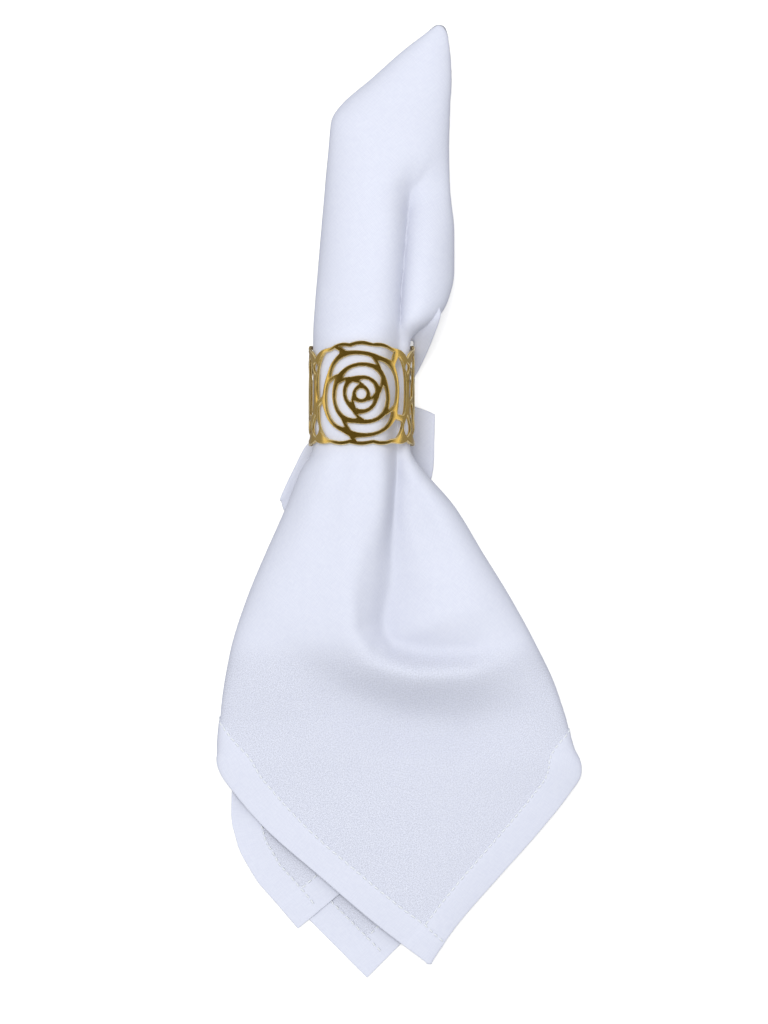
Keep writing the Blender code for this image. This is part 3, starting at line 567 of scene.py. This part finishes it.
def new_piece(name, points, faces, flat=None):
    """A smooth piece from points in millimetres. flat: each point's place on flat cloth, for the weave."""
    mesh = bpy.data.meshes.new(name)
    mesh.from_pydata((points * MM).tolist(), [], faces)
    if flat is not None:
        layer = mesh.uv_layers.new(name="UVMap")
        layer.data.foreach_set("uv", (flat[[k for face in faces for k in face]] * MM).ravel())
    mesh.shade_smooth()
    made = bpy.data.objects.new(name, mesh)
    bpy.context.scene.collection.objects.link(made)
    return made


def make_sheet(name, us, vs):
    """A grid of cloth over the flat lines us and vs, folded."""
    u, v = np.meshgrid(us, vs, indexing="ij")
    index = np.arange(u.size).reshape(u.shape)
    faces = np.stack((index[:-1, :-1], index[1:, :-1], index[1:, 1:], index[:-1, 1:]), axis=-1)
    u, v = u.ravel(), v.ravel()
    return new_piece(name, cloth_points(u, v), faces.reshape(-1, 4).tolist(), np.column_stack((u, v)))


lines = np.concatenate((-grid_lines(FINE_STEP)[::-1], grid_lines(WIDE_STEP)[1:]))
napkin = make_sheet("napkin_cloth", lines, lines)
print("cloth faces:", len(napkin.data.polygons))

# %% [markdown]
# ## Hem stitches
#
# A lockstitched hem shows as a row of short threads that dip into the cloth at both ends. Each stitch is
# a small bent tube laid along its line, lifted off the cloth in the middle and sunk at the ends. One
# row runs right through to the napkin's edge at each corner, and the row that meets it stops there.

# %% The rows of stitches
STITCH_PITCH, STITCH_LONG = 2.8, 2.15
STITCH_ASKEW, ASKEW_TURN = 0.24, 1.7  # how far a stitch may lie across its row, and how that varies
ROW_END = 0.8  # from the napkin's edge, where a row runs through to it
THREAD_HALF = 0.36
THREAD_FLAT = 0.6  # a thread's height, of its width
TUBE_SIDES = 6
THREAD_PARTS = np.array((-0.5, -0.3, 0.0, 0.3, 0.5))
THREAD_RISE = np.array((-0.30, 0.12, 0.22, 0.12, -0.30))
PROBE = 0.4  # the cloth's slope is felt this far either way


def band_faces(first, rings, sides):
    """Faces between so many rings of points, one after another from the point first on."""
    return [(k + m, k + (m + 1) % sides, k + sides + (m + 1) % sides, k + sides + m)
            for k in range(first, first + (rings - 1) * sides, sides) for m in range(sides)]


def lay_stitches(name, seams):
    """Short threads along seams: the coordinate that stays fixed, its value, from, to; flat millimetres."""
    marks = [(coordinate == "u", value, start + (k + 0.5) * STITCH_PITCH)
             for coordinate, value, start, end in seams for k in range(int((end - start) / STITCH_PITCH))]
    fixed_u, fixed, middle = (np.array(column)[:, None] for column in zip(*marks))
    along = middle + THREAD_PARTS * STITCH_LONG
    across = fixed + STITCH_ASKEW * np.sin(middle * ASKEW_TURN + fixed) * THREAD_PARTS
    u, v = np.where(fixed_u, across, along), np.where(fixed_u, along, across)

    def surface(step_u, step_v):
        return cloth_points((u + step_u).ravel(), (v + step_v).ravel()).reshape(*u.shape, 3)

    def unit(vectors):
        return vectors / np.maximum(np.linalg.norm(vectors, axis=-1, keepdims=True), 1e-6)

    over_u, over_v = surface(PROBE, 0) - surface(-PROBE, 0), surface(0, PROBE) - surface(0, -PROBE)
    upward = unit(np.cross(over_u, over_v)) * np.sign(u * v)[..., None]
    ahead = unit(np.where(fixed_u[..., None], over_v, over_u))
    sideways = np.cross(upward, ahead)
    centre = surface(0, 0) + upward * THREAD_RISE[:, None]
    angles = np.arange(TUBE_SIDES) * 2 * np.pi / TUBE_SIDES
    rings = (centre[:, :, None] + THREAD_HALF * (np.cos(angles)[:, None] * sideways[:, :, None]
             + THREAD_FLAT * np.sin(angles)[:, None] * upward[:, :, None]))
    faces = []
    for first in range(0, rings[..., 0].size, rings[0, ..., 0].size):
        faces += band_faces(first, len(THREAD_PARTS), TUBE_SIDES)
        last = first + (len(THREAD_PARTS) - 1) * TUBE_SIDES
        faces += [tuple(range(first, first + TUBE_SIDES))[::-1], tuple(range(last, last + TUBE_SIDES))]
    return new_piece(name, rings.reshape(-1, 3), faces)


seams = [("u", side * SEAM, -SIDE + ROW_END, SIDE - ROW_END) for side in (-1, 1)]
seams += [("v", side * SEAM, -SEAM, SEAM) for side in (-1, 1)]
stitches = lay_stitches("hem_stitches", seams)
print("stitch faces:", len(stitches.data.polygons))

# %% [markdown]
# ## Corners behind the ring
#
# Two of the napkin's folded side corners peep out from behind the ring, and above it the bulging side
# laps down towards the ring's rim. Each is doubled cloth, so it is drawn as a soft flat tongue: its
# outline is rounded off, and rings of points run over its edge to the middle on both faces. The two
# corners lie on the table, and the lap climbs from just over it to the height of the side that bulges.

# %% Outlines of the tongues
RIGHT_CORNER = ((13.4, -1.8), (20.8, -3.6), (26.9, -5.9), (27.5, -7.4), (27.3, -16), (26.8, -27.4),
                (24, -33), (14, -32.4), (13.2, -18))
LEFT_CORNER = ((-9.6, -24.4), (-14.6, -17.6), (-20.4, -17.2), (-26, -27.2), (-30.7, -37.4),
               (-30.4, -39.4), (-28.6, -43.2), (-20, -46.4), (-9.8, -48.4))
BULGE_LAP = ((18.9, 9), (19.6, 7.4), (22.8, 13), (25.8, 19.6), (27.7, 24.4), (28.8, 27.6),
             (29.3, 31), (27.4, 36), (22, 36), (20.4, 27), (17.4, 22.2), (17.8, 20.7),
             (19.2, 20.1), (19.2, 15))
OUTLINE_STEPS = 8  # points from one corner to the next
# How high a tongue is lifted, as y, height.
LEVEL_CLIMB = ((-SIDE, 0.0), (SIDE, 0.0))
LAP_CLIMB = ((5, 1), (10, 3.6), (15, 8.4), (20, 13.6), (25, 19.2), (29, 22.2), (34, 22.7))


def round_outline(corners):
    """A closed smooth curve through the corners."""
    corners = np.array(corners)
    before, after, beyond = np.roll(corners, 1, 0), np.roll(corners, -1, 0), np.roll(corners, -2, 0)
    t = np.arange(OUTLINE_STEPS)[:, None, None] / OUTLINE_STEPS
    curve = 0.5 * (2 * corners + (after - before) * t
                   + (2 * before - 5 * corners + 4 * after - beyond) * t ** 2
                   + (3 * corners - before - 3 * after + beyond) * t ** 3)
    return curve.transpose(1, 0, 2).reshape(-1, 2)


print("points round the lap:", len(round_outline(BULGE_LAP)))

# %% Soft tongues of doubled cloth
TONGUE_MIDDLE, TONGUE_HALF = 1.1, 0.72  # height of a tongue's middle, and half its thickness
# Rings from the under face over the edge to the upper face: share of the way out, level from -1 to 1.
TONGUE_RINGS = ((0.5, -1), (0.8, -1), (1, -0.9), (1, -0.5), (1, 0), (1, 0.5), (1, 0.9),
                (0.85, 1), (0.6, 1), (0.3, 1))
GRAIN_TURN = math.radians(43)  # of the threads, against the napkin's length
GRAIN_WAY = np.array(((math.cos(GRAIN_TURN), -math.sin(GRAIN_TURN)),
                      (math.sin(GRAIN_TURN), math.cos(GRAIN_TURN))))


def make_tongue(name, corners, swell, climb=LEVEL_CLIMB):
    """A closed flat pillow of cloth: under face, round edge, upper face that swells in the middle."""
    outline = round_outline(corners)
    after = np.roll(outline, -1, 0)
    if np.sum(outline[:, 0] * after[:, 1] - after[:, 0] * outline[:, 1]) < 0:
        outline = outline[::-1]
    centre = outline.mean(axis=0)
    shrink = np.linalg.norm(outline - centre, axis=1).min()
    loops = []
    for share, level in TONGUE_RINGS:
        inset = TONGUE_HALF * (1 - math.sqrt(max(1 - level * level, 0))) / shrink
        across = share * (1 - inset)
        height = TONGUE_MIDDLE + level * TONGUE_HALF
        if level == 1.0:
            height += swell * (1 - across ** 2)
        loops.append(np.column_stack((centre + (outline - centre) * across, np.full(len(outline), height))))
    points = np.concatenate(loops + [[[*centre, TONGUE_MIDDLE - TONGUE_HALF]],
                                     [[*centre, TONGUE_MIDDLE + TONGUE_HALF + swell]]])
    points[:, 2] += smooth_column(climb, 1, points[:, 1])
    count = len(outline)
    faces = band_faces(0, len(loops), count)
    faces += [(m, len(points) - 2, (m + 1) % count) for m in range(count)]
    last = (len(loops) - 1) * count
    faces += [(last + m, last + (m + 1) % count, len(points) - 1) for m in range(count)]
    return new_piece(name, points, faces, points[:, :2] @ GRAIN_WAY)


tongues = [make_tongue("right_corner", RIGHT_CORNER, swell=0.3),
           make_tongue("left_corner", LEFT_CORNER, swell=0.3),
           make_tongue("bulge_lap", BULGE_LAP, swell=0.2, climb=LAP_CLIMB)]
print("tongues:", [piece.name for piece in tongues])

# %% Everything rides on the one body
pieces = [napkin, stitches, *tongues]
for piece in pieces:
    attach(piece, "root")
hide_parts("napkin")
print("pieces of cloth:", len(pieces))

# %% [markdown]
# ## Cotton
#
# White cotton is matt, a little bluish, and never quite even: each thread is thicker here and thinner
# there. So the colour and the height both follow threads that run along the flat sheet. A single ply
# looks grainier and a little darker, and hems and packed cloth stay even and white. The light that cloth
# throws on to other cloth is set dimmer than the cloth itself, which keeps the folds deep.

# %% Shader helpers
def shader_of(material):
    """Switch a material's nodes on and give its node tree and its Principled BSDF."""
    material.use_nodes = True
    return material.node_tree, material.node_tree.nodes["Principled BSDF"]


def fill(tree, node, inputs):
    """Give a node's sockets plain values, or link them to what other nodes put out."""
    for name, value in inputs.items():
        if isinstance(value, bpy.types.NodeSocket):
            tree.links.new(value, node.inputs[name])
        else:
            node.inputs[name].default_value = value


def add_node(tree, kind, inputs=None, **settings):
    """A node of a kind, with its settings and what goes into its sockets."""
    made = tree.nodes.new(kind)
    for name, value in settings.items():
        setattr(made, name, value)
    fill(tree, made, inputs or {})
    return made


def math_node(tree, operation, *values):
    """A sum on one or two values."""
    return add_node(tree, "ShaderNodeMath", dict(enumerate(values)), operation=operation).outputs[0]


def mix_node(tree, factor, first, second, **settings):
    """From first to second, as far as factor says."""
    inputs = {"Factor": factor, "A": first, "B": second}
    return add_node(tree, "ShaderNodeMix", inputs, **settings).outputs["Result"]


def ramp_node(tree, value, *stops):
    """Colours from a value, between two stops: a position and the colour there."""
    made = add_node(tree, "ShaderNodeValToRGB", {0: value})
    for k, (position, colour) in enumerate(stops):
        made.color_ramp.elements[k].position = position
        made.color_ramp.elements[k].color = (*colour, 1)
    return made.outputs[0]


def object_noise(tree, scale, detail):
    """Noise that stays with a piece, scale cells to the metre."""
    place = add_node(tree, "ShaderNodeTexCoord").outputs["Object"]
    inputs = {"Vector": place, "Scale": scale, "Detail": detail}
    return add_node(tree, "ShaderNodeTexNoise", inputs).outputs[0]


NOISE_LOW, NOISE_HIGH = 0.36, 0.64
print("most of a noise lies between", NOISE_LOW, "and", NOISE_HIGH)

# %% Plain weave
THREAD_PITCH = 0.50 * MM
SLUB_STRETCH = (260.0, 2400.0)  # noise cells a metre, along a thread and across it
GRAIN_STRETCH = (2000.0, 3600.0)  # the same for the grain that shows where a ply lies single
SLUB_HEIGHT = 1.2  # of thick and thin threads, against the weave's own


def crossed_threads(tree, place, stretch):
    """Noise drawn out along both thread directions and averaged."""
    ways = []
    for scale in (stretch, stretch[::-1]):
        drawn = add_node(tree, "ShaderNodeMapping", {"Vector": place, "Scale": (*scale, 1.0)}).outputs[0]
        ways.append(add_node(tree, "ShaderNodeTexNoise", {"Vector": drawn, "Scale": 1.0, "Detail": 1.0},
                             noise_dimensions="2D").outputs[0])
    return math_node(tree, "MULTIPLY", math_node(tree, "ADD", *ways), 0.5)


def weave_group():
    """Height, tone and grain of a plain weave with uneven threads, from the cloth's flat place."""
    group = bpy.data.node_groups.new("plain_weave", "ShaderNodeTree")
    group.interface.new_socket("Flat place", in_out="INPUT", socket_type="NodeSocketVector")
    for name in ("Height", "Tone", "Grain"):
        group.interface.new_socket(name, in_out="OUTPUT", socket_type="NodeSocketFloat")
    flat = add_node(group, "NodeGroupInput").outputs[0]
    split = add_node(group, "ShaderNodeSeparateXYZ", {0: flat})
    over = [math_node(group, "SINE", math_node(group, "MULTIPLY", split.outputs[k], math.pi / THREAD_PITCH))
            for k in (0, 1)]
    pillows = math_node(group, "ABSOLUTE", math_node(group, "MULTIPLY", *over))
    tone, grain = (crossed_threads(group, flat, stretch) for stretch in (SLUB_STRETCH, GRAIN_STRETCH))
    height = math_node(group, "ADD", math_node(group, "MULTIPLY", tone, SLUB_HEIGHT), pillows)
    add_node(group, "NodeGroupOutput", {"Height": height, "Tone": tone, "Grain": grain})
    return group


plain_weave = weave_group()
print("weave nodes:", len(plain_weave.nodes))

# %% Washed white cotton
PACKED_FROM, PACKED_TO = 328.0, 348.0  # |u| + |v|: packed up to the first, single plies past the second
HEM_BLUR = 0.5  # how softly the hem's look begins, on either side of its stitches
SINGLE_DARK, SINGLE_LIGHT = 0.79, 1.07  # tone of the grain of a single ply
COTTON_LIGHT, COTTON_DARK = (0.815, 0.845, 0.965), (0.78, 0.81, 0.94)
THROWN = (0.40, 0.41, 0.50)  # the cloth's colour for light that it throws on to other cloth
WEAVE_DEPTH = 0.02 * MM


def density_mask(tree, flat):
    """From the flat place: 1 on the hems and where cloth is packed on cloth, 0 on a loose single ply."""
    split = add_node(tree, "ShaderNodeSeparateXYZ", {0: flat})
    sides = [math_node(tree, "ABSOLUTE", split.outputs[axis]) for axis in (0, 1)]
    masks = []
    for operation, start, end in (("MAXIMUM", SEAM - HEM_BLUR, SEAM + HEM_BLUR),
                                  ("ADD", PACKED_TO, PACKED_FROM)):
        inputs = {"Value": math_node(tree, operation, *sides), "From Min": start * MM, "From Max": end * MM}
        mask = add_node(tree, "ShaderNodeMapRange", inputs, interpolation_type="SMOOTHSTEP")
        masks.append(mask.outputs[0])
    return math_node(tree, "MAXIMUM", *masks)


def cotton_material():
    """White cotton: even where doubled, and what it throws on to other cloth is dimmer than itself."""
    made = bpy.data.materials.new("washed_white_cotton")
    tree, shader = shader_of(made)
    flat = add_node(tree, "ShaderNodeUVMap", uv_map="UVMap").outputs[0]
    weave = add_node(tree, "ShaderNodeGroup", {0: flat}, node_tree=plain_weave).outputs
    tone = ramp_node(tree, weave["Tone"], (NOISE_LOW, COTTON_DARK), (NOISE_HIGH, COTTON_LIGHT))
    single = add_node(tree, "ShaderNodeMapRange", {
        "Value": weave["Grain"], "From Min": NOISE_LOW, "From Max": NOISE_HIGH,
        "To Min": SINGLE_DARK, "To Max": SINGLE_LIGHT}).outputs[0]
    density = mix_node(tree, density_mask(tree, flat), single, 1.0, data_type="FLOAT")
    seen = mix_node(tree, 1.0, tone, density, data_type="RGBA", blend_type="MULTIPLY")
    scattered = add_node(tree, "ShaderNodeLightPath").outputs["Is Diffuse Ray"]
    colour = mix_node(tree, scattered, seen, (*THROWN, 1), data_type="RGBA")
    bump = add_node(tree, "ShaderNodeBump", {"Strength": 1.0, "Distance": WEAVE_DEPTH,
                                             "Height": weave["Height"]}).outputs[0]
    fill(tree, shader, {"Base Color": colour, "Normal": bump, "Roughness": 0.92, "Specular IOR Level": 0.15})
    return made


cotton = cotton_material()
for piece in (napkin, *tongues):
    piece.data.materials.append(cotton)
print("cotton nodes:", len(cotton.node_tree.nodes))

# %% Sewing thread
THREAD_LIGHT, THREAD_DARK = (0.94, 0.97, 1.0), (0.88, 0.92, 1.0)
TWIST_CELLS = 900.0  # a metre

thread = bpy.data.materials.new("hem_thread")
tree, shader = shader_of(thread)
twist = object_noise(tree, TWIST_CELLS, 2.0)
colour = ramp_node(tree, twist, (0.0, THREAD_DARK), (1.0, THREAD_LIGHT))
fill(tree, shader, {"Base Color": colour, "Roughness": 0.6})
stitches.data.materials.append(thread)
print("thread is on:", stitches.data.materials[0].name)

# %% [markdown]
# ## The openwork ring
#
# The ring's pattern and size are right in the imported solid. What it lacks is the soft edge that polished
# metal has: every rim of a cast or cut ring is slightly rounded and catches the light as a thin bright
# line. So a copy of its mesh is merged, bevelled along its rims, and stands for the solid. The faces are
# deep polished gold. The bevel has a paler, duller gold of its own, a painted highlight that keeps the
# rims bright from every side.

# %% Rounded rims
MERGE_WITHIN = 0.16 * MM  # the solid's loose triangles are joined where they meet
FLAT_WITHIN = math.radians(0.5)  # faces that lie as flat as this become one before the bevel
RIM_WIDTH, RIM_PARTS = 0.34 * MM, 3
RIM_ANGLE = math.radians(50)  # an edge as sharp as this is a rim
SMOOTH_ANGLE = math.radians(35)

bpy.ops.object.select_all(action="DESELECT")
ring = bpy.data.objects.new("rose_ring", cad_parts["ring"].data.copy())
bpy.context.scene.collection.objects.link(ring)
bpy.context.view_layer.objects.active = ring
ring.select_set(True)
bpy.ops.object.mode_set(mode="EDIT")
bpy.ops.mesh.select_all(action="SELECT")
bpy.ops.mesh.remove_doubles(threshold=MERGE_WITHIN)
bpy.ops.mesh.dissolve_limited(angle_limit=FLAT_WITHIN)
bpy.ops.mesh.quads_convert_to_tris()
bpy.ops.object.mode_set(mode="OBJECT")
bpy.ops.object.modifier_add(type="BEVEL")
ring.data.materials.clear()
# The second material, put on the bevel, is a painted highlight: a paler gold that keeps the rims bright.
for name in ("polished_gold_plating", "rims_painted_highlight"):
    ring.data.materials.append(bpy.data.materials.new(name))
bevel = ring.modifiers["Bevel"]
bevel.width, bevel.segments, bevel.limit_method, bevel.material = RIM_WIDTH, RIM_PARTS, "ANGLE", 1
bevel.angle_limit = RIM_ANGLE
bevel.use_clamp_overlap = False
bpy.ops.object.modifier_apply(modifier="Bevel")
bpy.ops.object.shade_smooth_by_angle(angle=SMOOTH_ANGLE)
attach(ring, "root")
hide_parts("ring")
print("ring faces:", len(ring.data.polygons))

# %% Polished gold plating, and a painted highlight on the rims
SMEAR_CELLS = 160.0  # a metre


def gold_and_rim_highlight(material, darker, lighter, glossiest, dullest):
    """Plated brass with faint smears in colour and gloss; on the rims a paler gold, a painted highlight."""
    tree, shader = shader_of(material)
    smear = object_noise(tree, SMEAR_CELLS, 3.0)
    gloss = add_node(tree, "ShaderNodeMapRange", {"Value": smear, "To Min": glossiest, "To Max": dullest})
    colour = ramp_node(tree, smear, (0.0, darker), (1.0, lighter))
    fill(tree, shader, {"Base Color": colour, "Roughness": gloss.outputs[0], "Metallic": 1.0})


faces_gold, rims_highlight = ring.data.materials
gold_and_rim_highlight(faces_gold, darker=(0.69, 0.45, 0.10), lighter=(0.88, 0.62, 0.20), glossiest=0.14, dullest=0.30)
# Painted highlight: the rims get a paler, duller gold so that they look bright from every side.
gold_and_rim_highlight(rims_highlight, darker=(1.0, 0.76, 0.34), lighter=(1.0, 0.88, 0.52), glossiest=0.34, dullest=0.44)
print("gold is on:", [made.name for made in ring.data.materials])

# %% [markdown]
# ## Table, light and camera
#
# The napkin lies on a pale table, seen from straight above. One large soft lamp hangs nearly overhead, a
# little to the left and towards the roll, in an even soft room light. To the camera the table is
# white and glows faintly, and to all other rays it is grey, so it doesn't fill the folds with light. The
# room that polished metal mirrors is dark overhead and bright low down, which is what gives a gold ring
# its dark face and, together with the painted highlight on the rims, its bright rims.

# %% A pale table
TABLE_WIDE, TABLE_TOP = 6.0, -0.0003
TABLE_LIGHT, TABLE_DARK = (1.0, 1.0, 1.0), (0.985, 0.985, 0.985)
TABLE_UNSEEN = (0.34, 0.34, 0.36)  # its colour to every ray but the camera's
TABLE_GLOW = 0.45
GRAIN_CELLS = 40.0  # a metre

bpy.ops.object.select_all(action="DESELECT")
bpy.ops.mesh.primitive_plane_add(size=TABLE_WIDE, location=(0, 0, TABLE_TOP))
table = bpy.context.active_object
table.name = "pale_table"
bpy.ops.object.transform_apply(location=True, rotation=True, scale=True)

top = bpy.data.materials.new("pale_table_top")
tree, shader = shader_of(top)
pale = ramp_node(tree, object_noise(tree, GRAIN_CELLS, 2.0), (0.0, TABLE_DARK), (1.0, TABLE_LIGHT))
to_camera = add_node(tree, "ShaderNodeLightPath").outputs["Is Camera Ray"]
colour = mix_node(tree, to_camera, (*TABLE_UNSEEN, 1), pale, data_type="RGBA")
glow = math_node(tree, "MULTIPLY", to_camera, TABLE_GLOW)
fill(tree, shader, {"Base Color": colour, "Roughness": 1.0, "Specular IOR Level": 0.0,
                    "Emission Color": (1.0, 1.0, 1.0, 1), "Emission Strength": glow})
table.data.materials.append(top)
print("table:", [round(side, 2) for side in table.dimensions])

# %% Soft light
LAMP_PLACE, LAMP_AIM = (-0.13, 0.24, 1.27), (0.0, -0.04, 0.0)

lamp_data = bpy.data.lights.new("big_soft_light", "AREA")
lamp_data.shape, lamp_data.size, lamp_data.energy = "DISK", 0.6, 6.6
lamp = bpy.data.objects.new("big_soft_light", lamp_data)
lamp.location = LAMP_PLACE
lamp.rotation_euler = (Vector(LAMP_AIM) - lamp.location).to_track_quat("-Z", "Y").to_euler()
lamp.visible_glossy = False
bpy.context.scene.collection.objects.link(lamp)
print("lamp stands", round(lamp.location.length, 2), "m away")

# %% The room
ROOM_LIGHT = (0.99, 0.995, 1.0)
LOW_LIGHT, OVERHEAD = (1.0, 0.97, 0.9), (0.09, 0.075, 0.03)  # what the ring mirrors
LOW_END, OVERHEAD_START = 0.10, 0.42  # how far up a ray heads where the one ends and the other starts

room = bpy.data.worlds.new("soft_room")
room.use_nodes = True
bpy.context.scene.world = room
tree = room.node_tree
soft = tree.nodes["Background"]
fill(tree, soft, {"Color": (*ROOM_LIGHT, 1), "Strength": 0.655})
heading = add_node(tree, "ShaderNodeTexCoord").outputs["Generated"]
upward = add_node(tree, "ShaderNodeSeparateXYZ", {0: heading}).outputs["Z"]
seen = ramp_node(tree, upward, (LOW_END, LOW_LIGHT), (OVERHEAD_START, OVERHEAD))
mirrored = add_node(tree, "ShaderNodeBackground", {"Color": seen, "Strength": 1.25})
# Only a ray that is mirrored before it has ever scattered sees the mirrored room.
rays = add_node(tree, "ShaderNodeLightPath").outputs
first_mirror = add_node(tree, "ShaderNodeMath", {0: rays["Is Glossy Ray"], 1: rays["Diffuse Depth"]},
                        operation="SUBTRACT", use_clamp=True)
shaders = {0: first_mirror.outputs[0], 1: soft.outputs[0], 2: mirrored.outputs[0]}
choose = add_node(tree, "ShaderNodeMixShader", shaders)
fill(tree, tree.nodes["World Output"], {"Surface": choose.outputs[0]})
bpy.context.scene.view_settings.view_transform = "Standard"
print("room nodes:", len(tree.nodes))

# %% Camera straight above
eye = bpy.data.cameras.new("camera_above")
eye.sensor_fit, eye.sensor_height, eye.lens = "VERTICAL", 36.0, 100.0
camera = bpy.data.objects.new("camera_above", eye)
camera.location = (0.0083, -0.0431, 1.075)
bpy.context.scene.collection.objects.link(camera)
bpy.context.scene.camera = camera
print("camera:", [round(value, 3) for value in camera.location])
